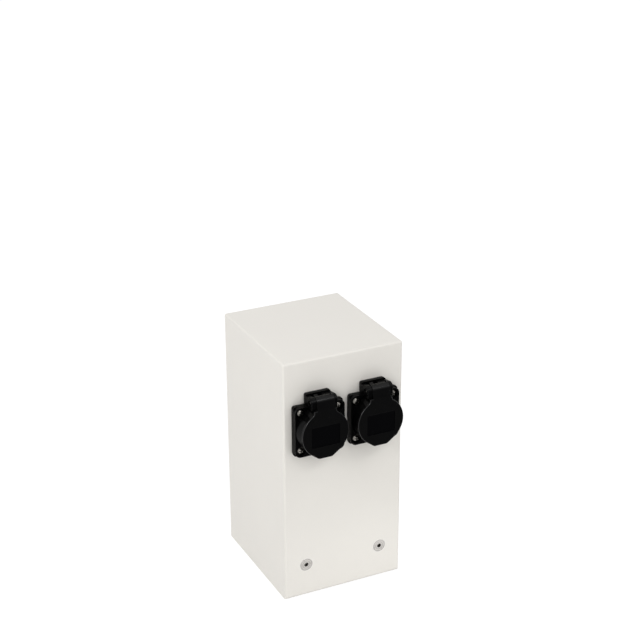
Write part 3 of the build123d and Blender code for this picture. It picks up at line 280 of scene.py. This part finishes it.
class Finish:
    """A material in the making: its colour, roughness and relief are added step by step."""

    def __init__(self, name, colour, roughness, metallic=0.0, specular=0.5):
        self.material = bpy.data.materials.new(name)
        self.material.use_nodes = True
        self.tree = self.material.node_tree
        self.shader = self.tree.nodes["Principled BSDF"]
        self.colour = (*colour, 1.0)
        self.roughness = roughness
        self.height = None
        self.edge_radius = 0.0
        self.shader.inputs["Metallic"].default_value = metallic
        self.shader.inputs["Specular IOR Level"].default_value = specular

    def roughen(self, share, amount):
        """More or less roughness where a mask is high."""
        change = maths(self.tree, "MULTIPLY", share, amount)
        self.roughness = maths(self.tree, "ADD", change, self.roughness)

    def cover(self, mask, colour, roughness=None):
        """Another colour, and roughness, where a mask is high."""
        self.colour = mixed_colour(self.tree, mask, self.colour, (*colour, 1.0))
        if roughness is not None:
            self.roughness = mixed_value(self.tree, mask, self.roughness, roughness)

    def raise_by(self, height, depth):
        """Relief from a height map whose full range is this deep."""
        scaled = maths(self.tree, "MULTIPLY", height, depth)
        self.height = scaled if self.height is None else maths(self.tree, "ADD", self.height, scaled)

    def drift(self, amount, patch, gloss_change):
        """Patches of slightly different tone and gloss."""
        made = use(self.tree, TONE_DRIFT, {"Colour": self.colour, "Drift": amount, "Patch Size": patch})
        self.colour = made["Colour"]
        self.roughen(made["Shift"], gloss_change)

    def rubbed(self, width, bare):
        """The mask of this finish's edges: rubbed ones, and on the powder coat the whole edge line of its
        painted highlight.
        """
        sockets = {"Width": width, "Patch Size": 6.0 * MM, "Bare Share": bare}
        return use(self.tree, EDGE_WEAR_AND_HIGHLIGHT, sockets)["Mask"]

    def wear_and_highlight(self, colour, width, bare, roughness=None):
        """Another colour along the edges: where they are worn, and on the powder coat a painted highlight.
        """
        self.cover(self.rubbed(width, bare), colour, roughness)

    def painted_shade(self, colour, reach):
        """Painted shade: a dark, dull colour in the corners and recesses."""
        mask = use(self.tree, CORNER_PAINTED_SHADE, {"Reach": reach, "Patch Size": reach * 2.0})["Mask"]
        self.cover(mask, colour, roughness=0.6)

    def dust(self, amount, patch, colour=(0.55, 0.53, 0.48)):
        """Dull dust on top."""
        mask = use(self.tree, SETTLED_DUST, {"Amount": amount, "Patch Size": patch})["Mask"]
        self.cover(mask, colour, roughness=0.85)

    def grain(self, size, wave, share, depth):
        """The small relief of the surface."""
        made = use(self.tree, FINE_GRAIN, {"Grain Size": size, "Wave Size": wave, "Wave Share": share})
        self.raise_by(made["Height"], depth)

    def lines(self, size, stretch, depth, gloss_change=0.0):
        """Drawn lines, in the relief and in the gloss."""
        height = use(self.tree, DRAWN_LINES, {"Line Size": size, "Stretch": stretch})["Height"]
        if gloss_change:
            self.roughen(maths(self.tree, "SUBTRACT", height, 0.5), gloss_change)
        self.raise_by(height, depth)

    def turned(self, heads, pitch, depth, dark):
        """Turned rings round each head, some of them darker: partly turning marks, partly painted shade
        near the rim.
        """
        made = use(self.tree, TURNED_RINGS_AND_SHADE, {**heads, "Pitch": pitch})
        self.cover(made["Band And Painted Shade"], dark)
        self.raise_by(made["Height"], depth)

    def coat(self, weight):
        """A thin gloss over the colour, by a mask."""
        self.tree.links.new(weight, self.shader.inputs["Coat Weight"])
        self.shader.inputs["Coat Roughness"].default_value = 0.2
        self.shader.inputs["Coat IOR"].default_value = 1.5

    def done(self):
        """The finished material, with everything linked to its shader."""
        fill(self.tree, self.shader, {"Base Color": self.colour, "Roughness": self.roughness})
        bump = place(self.tree, "Bump", {"Height": self.height, "Distance": 1.0, "Strength": 1.0})
        if self.edge_radius:
            soft = place(self.tree, "Bevel", {"Radius": self.edge_radius}, samples=8).outputs[0]
            self.tree.links.new(soft, bump.inputs["Normal"])
        self.tree.links.new(bump.outputs[0], self.shader.inputs["Normal"])
        return self.material


# Where the screw heads and windows lie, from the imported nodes

def foot_heads():
    """The foot screws' heads, for their turned rings: one on each side of the post."""
    low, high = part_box("foot_screws")
    return {"Mirror X": high[0] - FOOT_HEAD_RADIUS, "Centre X": 0.0,
            "Mirror Z": (low[2] + high[2]) / 2, "Centre Z": 0.0}


def socket_heads():
    """The heads of the sockets' mounting screws: at the corners of a square round each socket's middle."""
    low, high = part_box("right_socket_screws")
    return {"Mirror X": (low[0] + high[0]) / 2, "Centre X": (high[0] - low[0]) / 2 - MOUNT_HEAD_RADIUS,
            "Mirror Z": (low[2] + high[2]) / 2, "Centre Z": (high[2] - low[2]) / 2 - MOUNT_HEAD_RADIUS}


def within(tree, value, middle, width):
    """1 where a value lies within this width round a middle, and else 0."""
    distance = maths(tree, "ABSOLUTE", maths(tree, "SUBTRACT", value, middle))
    return maths(tree, "LESS_THAN", distance, width / 2)


def lid_window(tree):
    """The mask of the window in each lid's front, for both lids at once."""
    at = coordinates(tree, "Object")
    heads = socket_heads()
    lid_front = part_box("right_lid")[0][1]
    across = within(tree, maths(tree, "ABSOLUTE", at["X"]), heads["Mirror X"], WINDOW_WIDTH)
    upwards = within(tree, at["Z"], heads["Mirror Z"] - WINDOW_DROP, WINDOW_HEIGHT)
    in_front = maths(tree, "LESS_THAN", at["Y"], lid_front + WINDOW_REACH)
    return maths(tree, "MULTIPLY", maths(tree, "MULTIPLY", across, upwards), in_front)


# Finishes

def powder_coat():
    """Off-white satin powder coat, with its slight orange peel, and a paler line painted along its edges as
    a highlight.
    """
    coat = Finish("powder_coat", (0.8, 0.775, 0.728), roughness=0.42)
    coat.drift(0.012, patch=60.0 * MM, gloss_change=0.02)
    # Painted highlight: a paler colour in an unbroken line along every edge and bend
    coat.wear_and_highlight((0.88, 0.87, 0.84), width=1.2 * MM, bare=1.0)
    coat.dust(0.04, patch=30.0 * MM, colour=(0.62, 0.6, 0.55))
    coat.grain(size=0.5 * MM, wave=2.8 * MM, share=0.7, depth=0.04 * MM)
    return coat.done()


def zinc_plate(name, colour, roughness):
    """Bright zinc plating with faint rolling lines."""
    zinc = Finish(name, colour, roughness, metallic=1.0)
    zinc.drift(0.1, patch=12.0 * MM, gloss_change=0.08)
    zinc.wear_and_highlight((0.8, 0.8, 0.8), width=0.6 * MM, bare=0.6, roughness=0.22)
    zinc.lines(size=0.4 * MM, stretch=(0.08, 1.0, 1.0), depth=0.01 * MM, gloss_change=0.12)
    return zinc.done()


def stainless_steel(name, colour, worn, heads=None):
    """Plain stainless steel, turned in rings where it has heads."""
    steel = Finish(name, colour, roughness=0.3, metallic=1.0)
    if heads:
        # Turned rings, whose darker bands are partly painted shade near the heads' rims
        steel.turned(heads, pitch=0.47 * MM, depth=0.02 * MM, dark=(0.4, 0.385, 0.365))
    steel.drift(0.06, patch=4.0 * MM, gloss_change=0.05)
    steel.wear_and_highlight(worn, width=0.3 * MM, bare=0.7, roughness=0.2)
    # Painted shade: a near-black colour in the recesses and corners
    steel.painted_shade((0.04, 0.034, 0.03), reach=2.5 * MM)
    steel.grain(size=0.2 * MM, wave=1.0 * MM, share=0.3, depth=0.008 * MM)
    return steel.done()


def mount_screw_shaded_steel():
    """The heads of the sockets' mounting screws, their steel darkened in colour as painted shade, standing
    in for the dark surroundings that the heads reflect.
    """
    # Painted shade: a darkened steel colour standing in for the dark surroundings the heads reflect
    steel = Finish("mount_screw_shaded_steel", (0.3, 0.285, 0.26), roughness=0.2, metallic=1.0)
    # Turned rings, whose darker bands are partly painted shade near the heads' rims
    steel.turned(socket_heads(), pitch=0.3 * MM, depth=0.01 * MM, dark=(0.19, 0.18, 0.165))
    steel.drift(0.1, patch=3.0 * MM, gloss_change=0.06)
    steel.wear_and_highlight((0.3, 0.29, 0.27), width=0.3 * MM, bare=0.7, roughness=0.2)
    # Painted shade: a near-black colour in the recesses and corners
    steel.painted_shade((0.01, 0.009, 0.008), reach=2.2 * MM)
    steel.grain(size=0.2 * MM, wave=1.0 * MM, share=0.3, depth=0.008 * MM)
    return steel.done()


def spring_steel():
    """The drawn wire of the lid springs."""
    wire = Finish("spring_steel", (0.42, 0.42, 0.44), roughness=0.3, metallic=1.0)
    wire.drift(0.12, patch=2.0 * MM, gloss_change=0.06)
    wire.lines(size=0.1 * MM, stretch=(1.0, 0.1, 0.1), depth=0.004 * MM)
    return wire.done()


def plastic_gloss(tree, rubbed, side, rounding, edge, rim):
    """The gloss mask of moulded black plastic, for each way that its surface faces.

    The spark-eroded front is dull. Sides, roundings, rubbed edges and the lids' rims have their own gloss.
    """
    facing = coordinates(tree, "Normal")
    # None on the front itself, which faces -Y, and all of it on what turns away
    turned_away = spread(tree, facing["Y"], -0.97, -0.85)
    # Roundings between front and sides, and half of it on what faces up
    slanted = spread(tree, facing["Y"], -0.35, -0.55)
    upward = spread(tree, facing["Z"], 0.2, 0.5, 0.0, 0.5)
    smooth = spread(tree, maths(tree, "MAXIMUM", slanted, upward), 0.0, 1.0, side, rounding)
    # The rim where a rounding faces left or right
    sideways = spread(tree, maths(tree, "ABSOLUTE", facing["X"]), 0.2, 0.45, 0.0, rim)
    smooth = maths(tree, "MAXIMUM", smooth, maths(tree, "MULTIPLY", slanted, sideways))
    away = maths(tree, "MULTIPLY", turned_away, smooth)
    return maths(tree, "MAXIMUM", away, maths(tree, "MULTIPLY", rubbed, edge))


def black_plastic(name, colour, roughness, specular, gloss, has_window=False):
    """Moulded black plastic, with the darker window where the piece has one."""
    skin = Finish(name, colour, roughness, specular=specular)
    skin.drift(0.15, patch=10.0 * MM, gloss_change=0.04)
    rubbed = skin.rubbed(width=0.5 * MM, bare=0.75)
    skin.cover(rubbed, (0.004, 0.004, 0.004), roughness=0.3)
    if has_window:
        skin.cover(lid_window(skin.tree), (0.0003, 0.0003, 0.0006), roughness=0.38)
    skin.dust(0.012, patch=12.0 * MM, colour=(0.2, 0.19, 0.18))
    skin.grain(size=0.3 * MM, wave=1.2 * MM, share=0.35, depth=0.02 * MM)
    skin.edge_radius = 0.5 * MM
    skin.coat(plastic_gloss(skin.tree, rubbed, **gloss))
    return skin.done()


def moulded_plastic(name, colour, roughness=0.5):
    """The matt polyamide of terminals and inserts, paler along its edges."""
    skin = Finish(name, colour, roughness)
    skin.drift(0.06, patch=8.0 * MM, gloss_change=0.05)
    skin.wear_and_highlight(tuple(part * 1.35 + 0.02 for part in colour), width=0.4 * MM, bare=0.5)
    skin.dust(0.06, patch=8.0 * MM)
    skin.grain(size=0.25 * MM, wave=1.2 * MM, share=0.4, depth=0.015 * MM)
    return skin.done()


def black_rubber():
    """The dull rubber of gaskets, seals and the cable bush."""
    rubber = Finish("black_rubber", (0.012, 0.012, 0.012), roughness=0.72, specular=0.3)
    rubber.drift(0.2, patch=6.0 * MM, gloss_change=0.06)
    rubber.dust(0.15, patch=6.0 * MM, colour=(0.2, 0.19, 0.18))
    rubber.grain(size=0.4 * MM, wave=2.0 * MM, share=0.4, depth=0.03 * MM)
    return rubber.done()


def brass():
    """The drawn brass of the contacts and cable lugs."""
    metal = Finish("brass", (0.72, 0.5, 0.2), roughness=0.28, metallic=1.0)
    metal.drift(0.12, patch=4.0 * MM, gloss_change=0.1)
    metal.wear_and_highlight((0.85, 0.68, 0.36), width=0.3 * MM, bare=0.6, roughness=0.2)
    metal.lines(size=0.2 * MM, stretch=(1.0, 0.1, 1.0), depth=0.006 * MM, gloss_change=0.1)
    return metal.done()


def wire_sheath(name, colour):
    """The soft insulation of a live or neutral wire, slightly waxy."""
    sheath = Finish(name, colour, roughness=0.42)
    sheath.drift(0.07, patch=6.0 * MM, gloss_change=0.05)
    sheath.grain(size=0.3 * MM, wave=1.6 * MM, share=0.6, depth=0.015 * MM)
    return sheath.done()


def earth_stripes(tree):
    """The mask of the earth insulation's stripes, which lie side by side in X."""
    sockets = {"Vector": sized_point(tree, STRIPE_UNIT), "Scale": 0.5, "Distortion": 0.4, "Detail": 1.0}
    band = place(tree, "TexWave", sockets, wave_type="BANDS", bands_direction="X").outputs["Fac"]
    return spread(tree, band, 0.46, 0.54)


def earth_sheath():
    """The green insulation of the earth wires and the bonding lead, with its yellow stripes."""
    sheath = Finish("earth_sheath", (0.05, 0.28, 0.06), roughness=0.42)
    sheath.cover(earth_stripes(sheath.tree), (0.75, 0.6, 0.03))
    sheath.drift(0.06, patch=6.0 * MM, gloss_change=0.05)
    sheath.grain(size=0.3 * MM, wave=1.6 * MM, share=0.6, depth=0.015 * MM)
    return sheath.done()


def wear_finishes():
    """Puts each node's finish in its material slots."""
    zinc = zinc_plate("zinc_plated_steel", (0.62, 0.63, 0.64), roughness=0.34)
    screw_zinc = zinc_plate("bright_screw_zinc", (0.74, 0.73, 0.71), roughness=0.24)
    pin_steel = stainless_steel("stainless_steel", (0.5, 0.48, 0.46), worn=(0.7, 0.69, 0.67))
    rubber = black_rubber()
    contact_brass = brass()
    body_black = black_plastic("socket_black", (0.001, 0.001, 0.0011), roughness=0.42, specular=0.015,
                               gloss=dict(side=0.16, rounding=0.2, edge=0.2, rim=0.0))
    lid_black = black_plastic("lid_black", (0.0026, 0.0026, 0.0027), roughness=0.45, specular=0.019,
                              gloss=dict(side=0.16, rounding=0.42, edge=0.15, rim=1.0), has_window=True)
    rear_black = black_plastic("rear_black", (0.01, 0.01, 0.01), roughness=0.5, specular=0.4,
                               gloss=dict(side=0.2, rounding=0.2, edge=0.3, rim=0.0))
    socket_screw_shaded_steel = mount_screw_shaded_steel()
    grey = moulded_plastic("terminal_grey", (0.32, 0.33, 0.34))
    earth_green = earth_sheath()
    finishes = {
        "hood": powder_coat(),
        "foot_bracket": zinc,
        "foot_screws": stainless_steel("foot_screw_steel", (0.52, 0.5, 0.475), worn=(0.6, 0.59, 0.57),
                                       heads=foot_heads()),
        "foot_weld_nuts": zinc,
        "cable_bush": rubber,
        "carrier_plate": zinc,
        "carrier_studs": zinc,
        "carrier_nuts": zinc,
        "mounting_rail": zinc,
        "rail_screws": screw_zinc,
        "rail_nuts": zinc,
        "live_terminal": grey,
        "earth_terminal": moulded_plastic("terminal_green", (0.04, 0.26, 0.05)),
        "neutral_terminal": moulded_plastic("terminal_blue", (0.02, 0.1, 0.36)),
        "terminal_screws": screw_zinc,
        "rail_end_stops": grey,
        "live_wires": wire_sheath("brown_sheath", (0.12, 0.045, 0.015)),
        "earth_wires": earth_green,
        "neutral_wires": wire_sheath("blue_sheath", (0.02, 0.09, 0.4)),
        "earth_studs": screw_zinc,
        "earth_nuts": zinc,
        "bonding_lugs": contact_brass,
        "bonding_lead": earth_green,
    }
    insert_grey = moulded_plastic("insert_grey", (0.03, 0.03, 0.032), roughness=0.45)
    spring = spring_steel()
    for side in SIDES:
        finishes.update({
            f"{side}_socket_gasket": rubber,
            f"{side}_socket_body": body_black,
            f"{side}_contact_insert": insert_grey,
            f"{side}_live_contact": contact_brass,
            f"{side}_neutral_contact": contact_brass,
            f"{side}_earth_clip": contact_brass,
            f"{side}_clamp_screws": screw_zinc,
            f"{side}_rear_cover": rear_black,
            f"{side}_socket_screws": socket_screw_shaded_steel,
            f"{side}_socket_nuts": zinc,
            f"{side}_hinge_pin": pin_steel,
            f"{side}_lid_spring": spring,
            f"{side}_lid": lid_black,
            f"{side}_lid_seal": rubber,
        })
    for name, piece in nodes.items():
        piece.data.materials.clear()
        piece.data.materials.append(finishes[name])


# Studio

def seen_directly(tree):
    """1 for what the camera sees, plainly or in a reflection or through glass, and else 0."""
    path = place(tree, "LightPath").outputs
    mirrored = maths(tree, "MAXIMUM", path["Is Glossy Ray"], path["Is Transmission Ray"])
    return maths(tree, "MAXIMUM", path["Is Camera Ray"], mirrored)


def make_floor():
    """A pale floor: a plain one for the light, and seen white apart from the post's shadow."""
    half = FLOOR_HALF_SIDE
    corners = [(-half, -half, 0.0), (half, -half, 0.0), (half, half, 0.0), (-half, half, 0.0)]
    mesh = bpy.data.meshes.new("studio_floor")
    mesh.from_pydata(corners, [], [(0, 1, 2, 3)])
    floor = bpy.data.objects.new("studio_floor", mesh)
    bpy.context.scene.collection.objects.link(floor)
    material = bpy.data.materials.new("studio_floor")
    material.use_nodes = True
    tree = material.node_tree
    tree.nodes.clear()
    plain = place(tree, "BsdfDiffuse", {"Color": FLOOR_COLOUR}).outputs[0]
    shaded = place(tree, "BsdfDiffuse", {"Color": FLOOR_SEEN_COLOUR}).outputs[0]
    lift = place(tree, "Emission", {"Color": WHITE, "Strength": FLOOR_SEEN_LIFT}).outputs[0]
    seen = place(tree, "AddShader", {0: shaded, 1: lift}).outputs[0]
    both = place(tree, "MixShader", {0: seen_directly(tree), 1: plain, 2: seen}).outputs[0]
    place(tree, "OutputMaterial", {"Surface": both})
    mesh.materials.append(material)


def make_world():
    """White where it is seen, and an even fill for the light."""
    world = bpy.data.worlds.new("studio_white")
    bpy.context.scene.world = world
    world.use_nodes = True
    tree = world.node_tree
    tree.nodes.clear()
    strength = mixed_value(tree, seen_directly(tree), WORLD_FILL, 1.0)
    sky = place(tree, "Background", {"Color": WHITE, "Strength": strength}).outputs[0]
    place(tree, "OutputWorld", {"Surface": sky})


def make_softbox(name, at, aim, width, height, power):
    """A rectangular lamp that the camera doesn't see, turned to what it lights."""
    lamp = bpy.data.lights.new(name, "AREA")
    lamp.shape = "RECTANGLE"
    lamp.size = width
    lamp.size_y = height
    lamp.energy = power
    softbox = bpy.data.objects.new(name, lamp)
    softbox.location = at
    softbox.rotation_euler = (Vector(aim) - Vector(at)).to_track_quat("-Z", "Y").to_euler()
    softbox.visible_camera = False
    bpy.context.scene.collection.objects.link(softbox)


def make_camera():
    """The photograph's camera."""
    lens = bpy.data.cameras.new("photo_camera")
    lens.sensor_width = CAMERA_SENSOR
    lens.lens = CAMERA_LENS
    camera = bpy.data.objects.new("photo_camera", lens)
    turn = (Matrix.Rotation(math.radians(CAMERA_AZIMUTH), 4, "Z")
            @ Matrix.Rotation(math.radians(90.0 - CAMERA_ELEVATION), 4, "X")
            @ Matrix.Rotation(math.radians(CAMERA_ROLL), 4, "Z"))
    camera.matrix_world = Matrix.Translation(CAMERA_PLACE) @ turn
    bpy.context.scene.collection.objects.link(camera)
    bpy.context.scene.camera = camera


wear_finishes()
make_floor()
make_world()
for softbox_values in SOFTBOXES:
    make_softbox(**softbox_values)
make_camera()
bpy.context.scene.view_settings.view_transform = "Standard"
